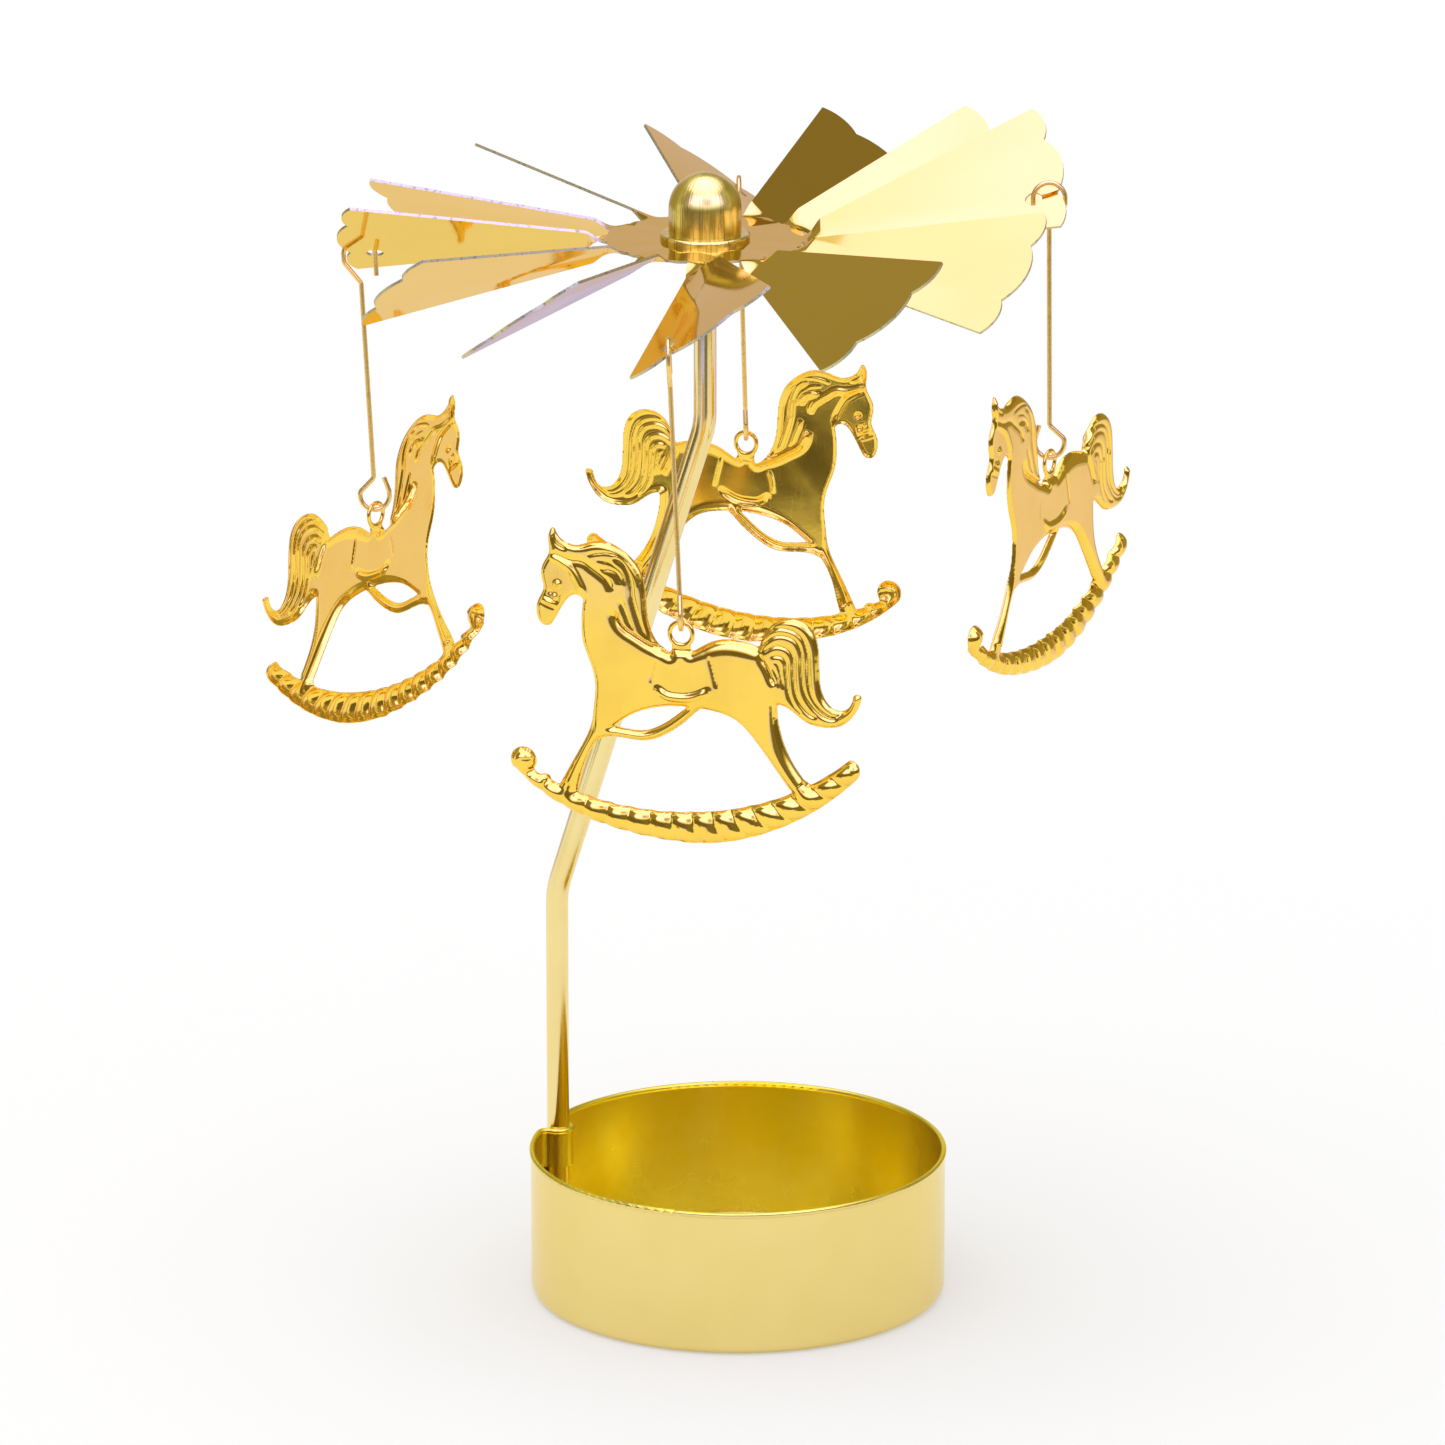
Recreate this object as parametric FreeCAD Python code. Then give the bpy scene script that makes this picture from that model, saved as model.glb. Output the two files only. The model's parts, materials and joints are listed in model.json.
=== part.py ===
import FreeCAD, Part
import math
import os

# Candle carousel: a tealight tray, a bent post, a twelve-blade rotor on a needle, and four hanging horses.
# Millimetres. The origin is the centre of the tray's underside, +Z is up and the post stands on the -X side.

# Tray
tray_radius = 28.8
tray_height = 20.6
tray_wall = 0.4
tray_corner = 1.4
rim_bead = 0.8
strap_height = 5.2
strap_ease = 1.2
post_clearance = 0.1

# Post
post_diameter = 3.1
post_wall = 0.45
post_bend = 12.0
knee_height = 55.1
shoulder_height = 123.7
hub_offset = 4.8

# Pivot
needle_shank = 4.0
needle_rise = 4.6
needle_neck = 1.0
needle_tip = 0.4
pivot_gap = 0.06
dimple_depth = 1.4
dimple_clearance = 0.35

# Hub
rotor_height = 149.5
cap_diameter = 9.9
cap_wall = 0.4
cap_straight = 3.4
flange_width = 1.2
flange_thickness = 0.8
collar_depth = 3.0
collar_wall = 0.4
collar_flange = 0.6
bore_clearance = 0.1
seat_wall = 0.45
seat_height = 2.6
seat_gap = 0.05

# Rotor
sheet = 0.4
blade_phase = 19.3
blade_twist = 34.4
blade_lifts = (17, 9, 3, -2, 0, -3, 0, -3, -2, -2, -1, 2)
slack_blade = 4
slack_twist = 26.0
disc_radius = 13.2
neck_length = 3.1
neck_steps = 3
neck_width = 4.0
root_width = 5.5
tip_radius = 47.6
tip_width = 22.2
cusp_spread = 10.0
cusp_rise = 0.6
middle_lobe = 1.7
side_lobe = 1.0

# Hangers
wire = 0.65
hook_radius = 2.15
hook_seat = 0.4
hook_edge = 1.1
hook_tail = 3.4
hook_leg = 1.4
hook_jog = 3.0
loop_radius = 2.0
loop_neck = 2.5
loop_jog = 1.9
loop_close = 0.6
wire_bend = 0.8
hole_clearance = 0.85

# Horses
horse_sheet = 0.6
ring_hole = 2.5
ring_width = 0.7
ring_gap = 0.26
stem_drop = 3.4
stem_foot = 3.1
stem_top = 2.3
ball_radius = 1.85
ball_rise = 0.5
rib_rise = 0.25
bead_rise = 0.55
bead_count = 15
girth_width = 1.2

# The hangers in their order round the rotor: how far the horse is turned from the tangent, how far down
# its wire reaches, and how far outwards and along the tangent the wire's lower end hangs from plumb
places = {"right": (27, 36.5, 0.4, 0.0), "back": (23, 36.0, 0.0, -1.0),
          "left": (35, 36.3, -1.9, 0.0), "front": (17, 37.6, 0.0, 1.6)}

# Horse outline, forward and up from the centre of its ring
crest = ((17.4, 12.9), (16.6, 11.7), (14.6, 11.0), (12.4, 11.6), (10.2, 11.7), (8.2, 10.8), (6.5, 9.4),
         (5.3, 7.4), (4.8, 4.8), (4.6, 2.1), (4.0, -0.2), (2.6, -2.2), (0.6, -2.9))
back = ((0.6, -2.9), (-2.2, -1.9), (-3.9, -0.9), (-6.2, -0.3), (-8.6, -0.4), (-10.7, -1.0))
tail_top = ((-10.7, -1.0), (-11.9, 1.6), (-13.5, 3.0), (-15.4, 3.4), (-17.3, 2.8), (-18.6, 1.2), (-19.1, -1.2),
            (-19.2, -4.0), (-19.8, -7.0), (-21.4, -8.6), (-22.7, -8.5), (-23.4, -7.8), (-23.7, -6.9))
tail_tip = ((-23.7, -6.9), (-24.4, -6.2), (-25.0, -6.6))
tail_under = ((-25.0, -6.6), (-23.6, -9.6), (-21.9, -10.9), (-19.6, -11.2), (-17.2, -10.7), (-15.5, -9.5),
              (-13.3, -8.6))
hind_rear = ((-13.3, -8.6), (-13.4, -10.4), (-13.9, -13.0), (-14.9, -15.6), (-16.4, -18.0), (-19.0, -20.8))
hind_foot = ((-19.0, -20.8), (-16.5, -22.2))
underside = ((-16.5, -22.2), (-13.5, -18.4), (-9.8, -13.5), (-7.6, -11.4), (-5.2, -10.5), (-1.8, -10.1),
             (0.9, -10.1), (3.6, -10.5), (6.3, -11.4), (9.0, -13.2), (11.6, -15.6), (13.7, -20.0), (15.0, -24.4))
fore_foot = ((15.0, -24.4), (17.6, -23.4))
breast = ((17.6, -23.4), (15.6, -19.5), (13.8, -16.3), (12.5, -13.2), (12.1, -10.8), (11.9, -8.1), (12.4, -5.5),
          (13.4, -2.9), (13.8, 0.4), (13.5, 3.6))
jaw = ((13.5, 3.6), (14.6, 4.2), (16.6, 2.2), (17.7, 0.3))
muzzle = ((17.7, 0.3), (18.6, -0.4), (19.6, 0.1))
face = ((19.6, 0.1), (20.1, 1.6), (19.8, 3.2), (19.1, 4.7), (19.4, 6.4), (19.1, 8.2), (18.3, 9.8), (18.4, 11.4),
        (18.1, 12.9))
ear = ((18.1, 12.9), (17.8, 13.2), (17.4, 12.9))
girth = ((11.6, -15.0), (8.6, -14.3), (5.6, -14.5), (2.6, -13.5), (0.1, -11.7), (-2.4, -9.6))
rocker_top = ((20.6, -20.8), (11.0, -24.1), (0.0, -24.7), (-11.5, -22.3), (-23.1, -15.5))
rocker_end = ((-23.1, -15.5), (-24.6, -16.4), (-24.2, -18.1))
rocker_under = ((-24.2, -18.1), (-14.5, -25.3), (-4.5, -28.6), (6.0, -28.4), (15.0, -26.1), (23.6, -20.6))
ball_place = (22.2, -19.4)
bead_line = ((19.3, -21.9), (11.2, -25.1), (1.0, -26.1), (-8.5, -24.7), (-17.0, -21.3), (-23.0, -17.0))

# Horse relief, as the middle lines of its raised ribs
ribs = (((15.0, 10.3), (11.0, 10.0), (7.8, 7.6), (6.7, 3.6), (6.1, -0.4), (3.9, -3.0)),
        ((12.0, 9.2), (9.3, 6.2), (8.6, 2.4), (7.9, -0.9), (6.0, -3.2)),
        ((-12.2, -1.4), (-13.3, 1.2), (-15.4, 2.0), (-17.2, 0.6), (-17.8, -3.4), (-19.2, -8.0), (-22.2, -9.8)),
        ((-13.3, -2.0), (-14.8, 0.0), (-15.9, -1.6), (-16.3, -5.4), (-18.4, -9.4)),
        ((3.2, -7.8), (1.6, -9.0), (-0.4, -9.3), (-2.3, -8.7), (-3.9, -7.4)),
        ((-3.9, -2.6), (-4.6, -4.6), (-5.1, -6.6)),
        ((17.6, 9.3), (15.6, 8.4), (14.2, 6.8), (13.6, 4.8)))

# Sizes that follow from the ones above
small = 1e-6
rim_level = tray_height - rim_bead / 2
strap_level = rim_level - strap_height
post_radius = post_diameter / 2
bore_radius = post_radius - post_wall
post_reach = tray_radius - tray_wall - post_clearance - post_radius
post_foot = max(tray_corner, tray_wall * 2)
cap_radius = cap_diameter / 2
cap_inner = cap_radius - cap_wall
sheet_top = rotor_height + sheet / 2
sheet_under = rotor_height - sheet / 2
dome_level = sheet_top + flange_thickness + cap_straight
seat_under = dome_level + cap_inner - seat_gap - seat_height
dimple_mouth = bore_radius + dimple_clearance
needle_top = seat_under + dimple_depth - pivot_gap
post_top = needle_top - needle_rise
blade_count = len(blade_lifts)
blade_step = blade_count // len(places)
hanger_radius = tip_radius + cusp_rise - hook_edge
hole_radius = wire / 2 + hole_clearance
ring_drop = ring_hole / 2 - wire / 2 - ring_gap
up = FreeCAD.Vector(0, 0, 1)


def vec(x=0.0, y=0.0, z=0.0):
    return FreeCAD.Vector(x, y, z)


def revolve(points, x=0.0):
    outline = Part.makePolygon([vec(r, 0, z) for r, z in points + points[:1]])
    solid = Part.Face(outline).revolve(vec(), up, 360)
    return solid.translated(vec(x))


def rounded_path(points):
    # Lines through (x, z) corners in the XZ plane, each corner rounded to its own radius
    edges = []
    last = vec(points[0][0], 0, points[0][1])
    for before, here, after in zip(points, points[1:], points[2:]):
        corner = vec(here[0], 0, here[1])
        into = (corner - vec(before[0], 0, before[1])).normalize()
        out = (vec(after[0], 0, after[1]) - corner).normalize()
        half = into.getAngle(out) / 2
        start = corner - into * (here[2] * math.tan(half))
        end = corner + out * (here[2] * math.tan(half))
        middle = corner + (out - into).normalize() * (here[2] / math.cos(half) - here[2])
        if (start - last).Length > small:
            edges.append(Part.makeLine(last, start))
        edges.append(Part.Arc(start, middle, end).toShape())
        last = end
    edges.append(Part.makeLine(last, vec(points[-1][0], 0, points[-1][1])))
    return Part.Wire(edges)


def rod_along(path, radius):
    first = path.OrderedEdges[0]
    start = first.valueAt(first.FirstParameter)
    section = Part.Wire(Part.makeCircle(radius, start, first.tangentAt(first.FirstParameter)))
    return path.makePipeShell([section], True, False)


def dented_ring(offset):
    # The wall's middle line, moved outwards by offset: a circle that turns in round the post
    wall = tray_radius - tray_wall / 2
    pocket = post_radius + post_clearance + tray_wall / 2
    ease_reach = wall - strap_ease
    cosine = (post_reach ** 2 + ease_reach ** 2 - (pocket + strap_ease) ** 2) / (2 * post_reach * ease_reach)
    angle = math.acos(cosine)
    post = vec(-post_reach)
    edges = [None] * 4
    ends = []
    for side in (1, -1):
        ease = vec(-ease_reach * math.cos(angle), side * ease_reach * math.sin(angle))
        outward = (ease - vec()).normalize()
        inward = (post - ease).normalize()
        rim = ease + outward * (strap_ease + offset)
        turn = ease + (outward + inward).normalize() * (strap_ease + offset)
        pocket_end = ease + inward * (strap_ease + offset)
        edges[side] = Part.Arc(rim, turn, pocket_end).toShape()
        ends.append((rim, pocket_end))
    edges[0] = Part.Arc(ends[0][0], vec(wall + offset), ends[1][0]).toShape()
    edges[2] = Part.Arc(ends[0][1], post + vec(pocket - offset), ends[1][1]).toShape()
    return Part.Wire(Part.__sortEdges__(edges))


def edges_at(solid, level):
    return [edge for edge in solid.Edges if abs(edge.BoundBox.ZMax - level) < small]


def make_tray():
    blank = Part.makeCylinder(tray_radius, strap_level)
    blank = blank.makeFillet(tray_corner, edges_at(blank, 0.0))
    hollow = Part.makeCylinder(tray_radius - tray_wall, strap_level, vec(0, 0, tray_wall))
    hollow = hollow.makeFillet(post_foot - tray_wall, edges_at(hollow, tray_wall))
    section = Part.Face(dented_ring(tray_wall / 2)).cut(Part.Face(dented_ring(-tray_wall / 2))).Faces[0]
    band = section.extrude(vec(0, 0, strap_height)).translated(vec(0, 0, strap_level))
    rim = rod_along(dented_ring(0.0).translated(vec(0, 0, rim_level)), rim_bead / 2)
    return blank.cut(hollow).multiFuse([band, rim])


def make_post():
    corners = ((-post_reach, post_foot), (-post_reach, knee_height, post_bend),
               (-hub_offset, shoulder_height, post_bend), (-hub_offset, post_top))
    path = rounded_path(corners)
    return rod_along(path, post_radius).cut(rod_along(path, bore_radius))


def make_needle():
    foot = post_top - needle_shank
    cone_foot = needle_top - dimple_depth - needle_neck
    pin = [(0, foot), (bore_radius, foot), (bore_radius, cone_foot)]
    pin += [(needle_tip / 2, needle_top), (0, needle_top)]
    return revolve(pin, -hub_offset)


def make_seat():
    # A plug under the dome, with a cone for the needle's point
    block = Part.makeCylinder(dimple_mouth + seat_wall, seat_height, vec(0, 0, seat_under))
    block = block.common(Part.makeSphere(cap_inner - seat_gap, vec(0, 0, dome_level)))
    dimple_top = seat_under + dimple_depth
    cone = [(0, seat_under), (dimple_mouth, seat_under)]
    cone += [(needle_tip / 2 + pivot_gap, dimple_top), (0, dimple_top)]
    return block.cut(revolve(cone)).translated(vec(-hub_offset))


def capsule(radius):
    barrel = Part.makeCylinder(radius, dome_level - sheet_top, vec(0, 0, sheet_top))
    return barrel.fuse(Part.makeSphere(radius, vec(0, 0, dome_level), up, 0, 90, 360))


def make_cap():
    flange = Part.makeCylinder(cap_radius + flange_width, flange_thickness, vec(0, 0, sheet_top))
    flange = flange.makeFillet(flange_thickness / 2, edges_at(flange, sheet_top + flange_thickness)[:1])
    cap = capsule(cap_radius).fuse(flange).cut(capsule(cap_inner))
    return cap.removeSplitter().translated(vec(-hub_offset))


def make_collar():
    inner = cap_inner - collar_wall
    lip = cap_radius + flange_width
    low = sheet_under - collar_flange
    high = sheet_top + collar_depth
    ring = [(inner, low), (lip, low), (lip, sheet_under)]
    ring += [(cap_inner, sheet_under), (cap_inner, high), (inner, high)]
    return revolve(ring, -hub_offset)


def blade_axes(index, share=1.0):
    # Unit vectors along, across and through a blade whose radius lies on +X, at a share of its bend
    lift = math.radians(blade_lifts[index]) * share
    twist = math.radians(slack_twist if index == slack_blade else blade_twist) * share
    along = vec(math.cos(lift), 0, math.sin(lift))
    flat = vec(-math.sin(lift), 0, math.cos(lift))
    across = vec(0, math.cos(twist)) + flat * math.sin(twist)
    return along, across, along.cross(across)


def neck_section(share, index):
    # The neck's oblong section at a share of its length, turning from the flat disc to the blade
    eased = share * share * (3 - 2 * share)
    along, across, through = blade_axes(index, eased)
    reach = disc_radius * vec(1, 0, 0) + along * (neck_length * share)
    width = neck_width + (root_width - neck_width) * share
    corners = [reach + across * (width / 2 * a) + through * (sheet / 2 * b)
               for a, b in ((1, 1), (-1, 1), (-1, -1), (1, -1))]
    return Part.makePolygon(corners + corners[:1])


def blade_outline():
    # Corners and scalloped tip, as (along, across) from the rotor's centre
    root = disc_radius + neck_length
    tip = tip_width / 2
    cusp = cusp_spread / 2
    side = (tip + cusp) / 2
    lobe = tip_radius + cusp_rise
    points = [(root, root_width / 2), (tip_radius, tip), (lobe - cusp_rise / 2 + side_lobe, side), (lobe, cusp),
              (lobe + middle_lobe, 0)]
    return points + [(a, -b) for a, b in points[-2::-1]]


def make_blade(index):
    along, across, through = blade_axes(index)
    hinge = vec(disc_radius)

    def place(point):
        return hinge + along * (point[0] - disc_radius) + across * point[1] - through * (sheet / 2)

    outline = [place(point) for point in blade_outline()]
    edges = [Part.makeLine(outline[0], outline[1])]
    for first in (1, 3, 5):
        edges.append(Part.Arc(outline[first], outline[first + 1], outline[first + 2]).toShape())
    edges.append(Part.makeLine(outline[7], outline[8]))
    edges.append(Part.makeLine(outline[8], outline[0]))
    blade = Part.Face(Part.Wire(edges)).extrude(through * sheet)
    if index % blade_step == 0:
        centre = place((hanger_radius - hook_radius, -cusp_spread / 2)) - through * sheet
        blade = blade.cut(Part.makeCylinder(hole_radius, sheet * 3, centre, through))
    neck = Part.makeLoft([neck_section(step / neck_steps, index) for step in range(neck_steps + 1)], True)
    return [blade, neck]


def blade_turn(index):
    return blade_phase + index * 360 / blade_count


def make_rotor():
    corner_radius = disc_radius / math.cos(math.pi / blade_count)
    corners = []
    for index in range(blade_count + 1):
        angle = math.radians(blade_turn(index + 0.5))
        corners.append(vec(corner_radius * math.cos(angle), corner_radius * math.sin(angle), -sheet / 2))
    disc = Part.Face(Part.makePolygon(corners)).extrude(up * sheet)
    disc = disc.cut(Part.makeCylinder(cap_inner + bore_clearance, sheet * 2, vec(0, 0, -sheet)))
    pieces = []
    for index in range(blade_count):
        for piece in make_blade(index):
            pieces.append(piece.rotated(vec(), up, blade_turn(index)))
    return disc.multiFuse(pieces).translated(vec(-hub_offset, 0, rotor_height))


def blade_of(side):
    return list(places).index(side) * blade_step


def hook_place(blade):
    # The middle of the strip between the hanger hole and the blade's tip, where the hook rests
    along, across, through = blade_axes(blade)
    point = vec(disc_radius) + along * (hanger_radius - disc_radius) - across * (cusp_spread / 2)
    turn = FreeCAD.Rotation(up, blade_turn(blade))
    return turn.multVec(point) + vec(-hub_offset, 0, rotor_height)


def lower_end(side):
    # The bottom of a hanger's loop, from its resting point, with +X outwards
    turn, drop, out, sideways = places[side]
    return vec(out, sideways, -drop)


def make_hanger(side):
    # In the XZ plane, +X outwards, from its resting point on the blade, then swung out of plumb
    crown = hook_radius - hook_seat
    bottom = -lower_end(side).Length
    neck = bottom + loop_radius + loop_neck
    waist = neck - loop_jog
    corners = ((-hook_radius, -hook_tail),
               (-hook_radius, crown, hook_radius), (hook_radius, crown, hook_radius),
               (hook_radius, -hook_leg, wire_bend), (0, -hook_leg - hook_jog, wire_bend),
               (0, neck, wire_bend), (loop_radius, waist, wire_bend),
               (loop_radius, bottom, loop_radius), (-loop_radius, bottom, loop_radius),
               (-loop_radius, waist, wire_bend), (loop_close - loop_radius, neck))
    rod = rod_along(rounded_path(corners), wire / 2)
    lean = FreeCAD.Rotation(vec(0, 0, -1), lower_end(side))
    return rod.rotated(vec(), lean.Axis, math.degrees(lean.Angle))


def flat(points):
    # Points on the horse's own plane: forward is +X, up is +Z
    return [vec(x, 0, z) for x, z in points]


def smooth(points):
    curve = Part.BSplineCurve()
    curve.interpolate(flat(points))
    return curve.toShape()


def arc(points):
    return Part.Arc(*flat(points)).toShape()


def line(start, end):
    return Part.makeLine(*flat((start, end)))


def plate(edges):
    face = Part.Face(Part.Wire(edges))
    return face.extrude(vec(0, horse_sheet)).translated(vec(0, -horse_sheet / 2))


def bar(points, width):
    # A strip of even width along a smooth middle line
    upper = []
    lower = []
    middle = smooth(points)
    for step in range(len(points)):
        at = middle.FirstParameter + (middle.LastParameter - middle.FirstParameter) * step / (len(points) - 1)
        point = middle.valueAt(at)
        side = middle.tangentAt(at).cross(vec(0, 1)) * (width / 2)
        upper.append((point.x + side.x, point.z + side.z))
        lower.insert(0, (point.x - side.x, point.z - side.z))
    return plate([smooth(upper), line(upper[-1], lower[0]), smooth(lower), line(lower[-1], upper[0])])


def make_body():
    edges = [smooth(run) for run in (crest, back, tail_top)]
    edges += [arc(tail_tip), smooth(tail_under), smooth(hind_rear), line(*hind_foot), smooth(underside)]
    edges += [line(*fore_foot), smooth(breast), smooth(jaw), arc(muzzle), smooth(face), arc(ear)]
    return plate(edges)


def make_rocker():
    front = line(rocker_under[-1], rocker_top[0])
    return plate([smooth(rocker_top), arc(rocker_end), smooth(rocker_under), front])


def make_ball():
    # A lens of two equal spheres
    height = horse_sheet / 2 + ball_rise
    curve = (ball_radius ** 2 + height ** 2) / (2 * height)
    offset = vec(0, curve - height)
    centre = vec(ball_place[0], 0, ball_place[1])
    return Part.makeSphere(curve, centre + offset).common(Part.makeSphere(curve, centre - offset))


def make_ring():
    across = vec(0, 1)
    disc = Part.makeCylinder(ring_hole / 2 + ring_width, horse_sheet, across * (-horse_sheet / 2), across)
    foot = (-stem_foot / 2, -stem_drop), (stem_foot / 2, -stem_drop)
    top = (stem_top / 2, 0), (-stem_top / 2, 0)
    stem = plate([line(*foot), line(foot[1], top[0]), line(*top), line(top[1], foot[0])])
    hole = Part.makeCylinder(ring_hole / 2, horse_sheet * 2, across * -horse_sheet, across)
    return disc.fuse(stem).cut(hole)


def make_beads():
    # Round turns of the rope along the rocker
    run = smooth(bead_line)
    length = run.LastParameter - run.FirstParameter
    radius = horse_sheet / 2 + bead_rise
    return [Part.makeSphere(radius, run.valueAt(run.FirstParameter + length * index / (bead_count - 1)))
            for index in range(bead_count)]


def make_horse():
    # Facing +X, with the centre of its ring at the origin
    pieces = [make_rocker(), make_ball(), make_ring(), bar(girth, girth_width)] + make_beads()
    rib_radius = horse_sheet / 2 + rib_rise
    pieces += [rod_along(Part.Wire(smooth(points)), rib_radius) for points in ribs]
    return make_body().multiFuse(pieces).removeSplitter()


def hang(side):
    # Where a hanger rests and where its loop ends, and which way its horse faces
    angle = blade_turn(blade_of(side))
    rest = hook_place(blade_of(side))
    loop = rest + FreeCAD.Rotation(up, angle).multVec(lower_end(side))
    return rest, loop, angle - 90 - places[side][0]


def write(name, shape):
    print(name, "valid", shape.isValid(), "solids", len(shape.Solids), "volume", round(shape.Volume, 2))
    shape.exportStep("parts/" + name + ".step")


def main():
    os.makedirs("parts", exist_ok=True)
    write("tray", make_tray())
    write("post", make_post())
    write("pivot_needle", make_needle())
    write("bearing_seat", make_seat())
    write("hub_cap", make_cap())
    write("hub_collar", make_collar())
    write("rotor", make_rotor())
    horse = make_horse()
    for side in places:
        rest, loop, heading = hang(side)
        hanger = make_hanger(side).rotated(vec(), up, blade_turn(blade_of(side)))
        write("hanger_" + side, hanger.translated(rest))
        write("horse_" + side, horse.rotated(vec(), up, heading).translated(loop - up * ring_drop))


main()
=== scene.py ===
import json
import math

import bmesh
import bpy
import numpy as np
from mathutils import Matrix, Vector
from mathutils.bvhtree import BVHTree

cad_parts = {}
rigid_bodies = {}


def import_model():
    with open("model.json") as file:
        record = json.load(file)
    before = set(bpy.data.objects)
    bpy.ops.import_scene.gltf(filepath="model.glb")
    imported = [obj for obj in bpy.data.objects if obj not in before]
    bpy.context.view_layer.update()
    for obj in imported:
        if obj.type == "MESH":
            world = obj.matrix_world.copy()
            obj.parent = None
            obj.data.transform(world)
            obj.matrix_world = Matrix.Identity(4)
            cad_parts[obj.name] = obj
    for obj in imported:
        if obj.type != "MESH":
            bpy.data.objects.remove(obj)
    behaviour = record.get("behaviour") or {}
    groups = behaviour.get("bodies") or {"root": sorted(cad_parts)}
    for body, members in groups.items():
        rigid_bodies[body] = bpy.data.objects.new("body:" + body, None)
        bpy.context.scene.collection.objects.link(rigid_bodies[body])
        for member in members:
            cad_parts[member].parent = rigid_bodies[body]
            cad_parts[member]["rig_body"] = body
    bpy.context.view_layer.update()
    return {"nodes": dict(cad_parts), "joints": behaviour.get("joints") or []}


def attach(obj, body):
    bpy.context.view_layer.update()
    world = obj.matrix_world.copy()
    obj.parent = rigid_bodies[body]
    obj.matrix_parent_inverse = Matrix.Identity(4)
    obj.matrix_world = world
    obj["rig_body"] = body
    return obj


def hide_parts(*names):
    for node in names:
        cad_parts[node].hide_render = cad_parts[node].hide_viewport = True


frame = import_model()
joints = {joint["name"]: joint for joint in frame["joints"]}
scene = bpy.context.scene
scene.view_settings.view_transform = "Standard"
tiny = 1e-6  # keeps a division or a ray off zero
millimetre = 0.001
white = (1.0, 1.0, 1.0)
print("frame loaded:", len(frame["nodes"]), "nodes")

# camera at the photograph's viewing angle
cameraLook = {"place": (0.43702, -1.20698, 0.45522), "turn": (73.782, 0.0, 20.0), "lens": 242.721, "sensor": 36.0,
              "clip": (0.05, 20.0)}


def makeCamera(look):
    data = bpy.data.cameras.new("photoCamera")
    data.lens = look["lens"]
    data.sensor_width = look["sensor"]
    data.clip_start, data.clip_end = look["clip"]
    camera = bpy.data.objects.new("photoCamera", data)
    camera.location = look["place"]
    camera.rotation_euler = [math.radians(angle) for angle in look["turn"]]
    scene.collection.objects.link(camera)
    scene.camera = camera


makeCamera(cameraLook)
print("camera set")


class Socket:
    # one output of a node: an operator on it adds a Math node
    def __init__(self, tree, link=None):
        self.tree = tree
        self.link = link

    def add(self, kind, settings=None, sockets=None, out=0):
        node = self.tree.nodes.new("ShaderNode" + kind)
        for name, value in (settings or {}).items():
            setattr(node, name, value)
        for name, value in (sockets or {}).items():
            if isinstance(value, Socket):
                self.tree.links.new(value.link, node.inputs[name])
            else:
                node.inputs[name].default_value = value
        return Socket(self.tree, node.outputs[out] if node.outputs else None)

    def maths(self, operation, *values):
        return self.add("Math", {"operation": operation}, dict(enumerate(values)))

    def __add__(self, other):
        return self.maths("ADD", self, other)

    __radd__ = __add__

    def __sub__(self, other):
        return self.maths("SUBTRACT", self, other)

    def __rsub__(self, other):
        return self.maths("SUBTRACT", other, self)

    def __mul__(self, other):
        return self.maths("MULTIPLY", self, other)

    __rmul__ = __mul__

    def ramp(self, low, high):
        # 0 below low, 1 above high, eased between
        limits = {"Value": self, "From Min": low, "From Max": high}
        return self.add("MapRange", {"interpolation_type": "SMOOTHSTEP"}, limits)

    def tint(self, first, second):
        # a colour between two by this share
        return self.add("Mix", {"data_type": "RGBA"}, {0: self, 6: rgb(first), 7: rgb(second)}, out=2)

    def stretch(self, scale, turn=(0, 0, 0), shift=(0, 0, 0)):
        angles = [math.radians(angle) for angle in turn]
        return self.add("Mapping", None, {"Vector": self, "Scale": scale, "Rotation": angles, "Location": shift})

    def noise(self, scale, detail=2.0, rough=0.5):
        values = {"Vector": self, "Scale": scale, "Detail": detail, "Roughness": rough}
        return self.add("TexNoise", None, values)

    def bump(self, distance, under=None):
        # this height as a bump, over another bump if there is one
        values = {"Height": self, "Distance": distance}
        if under:
            values["Normal"] = under
        return self.add("Bump", None, values)


def rgb(colour):
    return (*colour, 1.0)


def newMaterial(name, place="Object"):
    material = bpy.data.materials.new(name)
    material.use_nodes = True
    material.node_tree.nodes.clear()
    start = Socket(material.node_tree)
    return material, start, start.add("TexCoord", out=place)


def metalShader(start, values, fixed):
    shader = start.add("BsdfPrincipled", None, {"Metallic": 1.0, **fixed, **values})
    closeShader(start, shader)


def closeShader(start, shader):
    start.add("OutputMaterial", None, {"Surface": shader})


# each noise's detail, or its scale, detail and roughness, and the range that counts as clouded (a random tone, and in
# the well painted soft highlights and shade), scratched or specked
lacquerTone = {"cloud": 3.0, "peel": 2.0, "wave": (1.0, 1.0), "hair": (1.0, 3.0, 0.6), "speck": 1.0,
               "toneAndPaintedSheen": (0.35, 0.7), "scratched": (0.62, 0.72), "specked": (0.7, 0.78)}
plateTone = {"grain": (1.0, 3.0), "speck": 2.0, "specked": (0.55, 0.68)}


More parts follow.
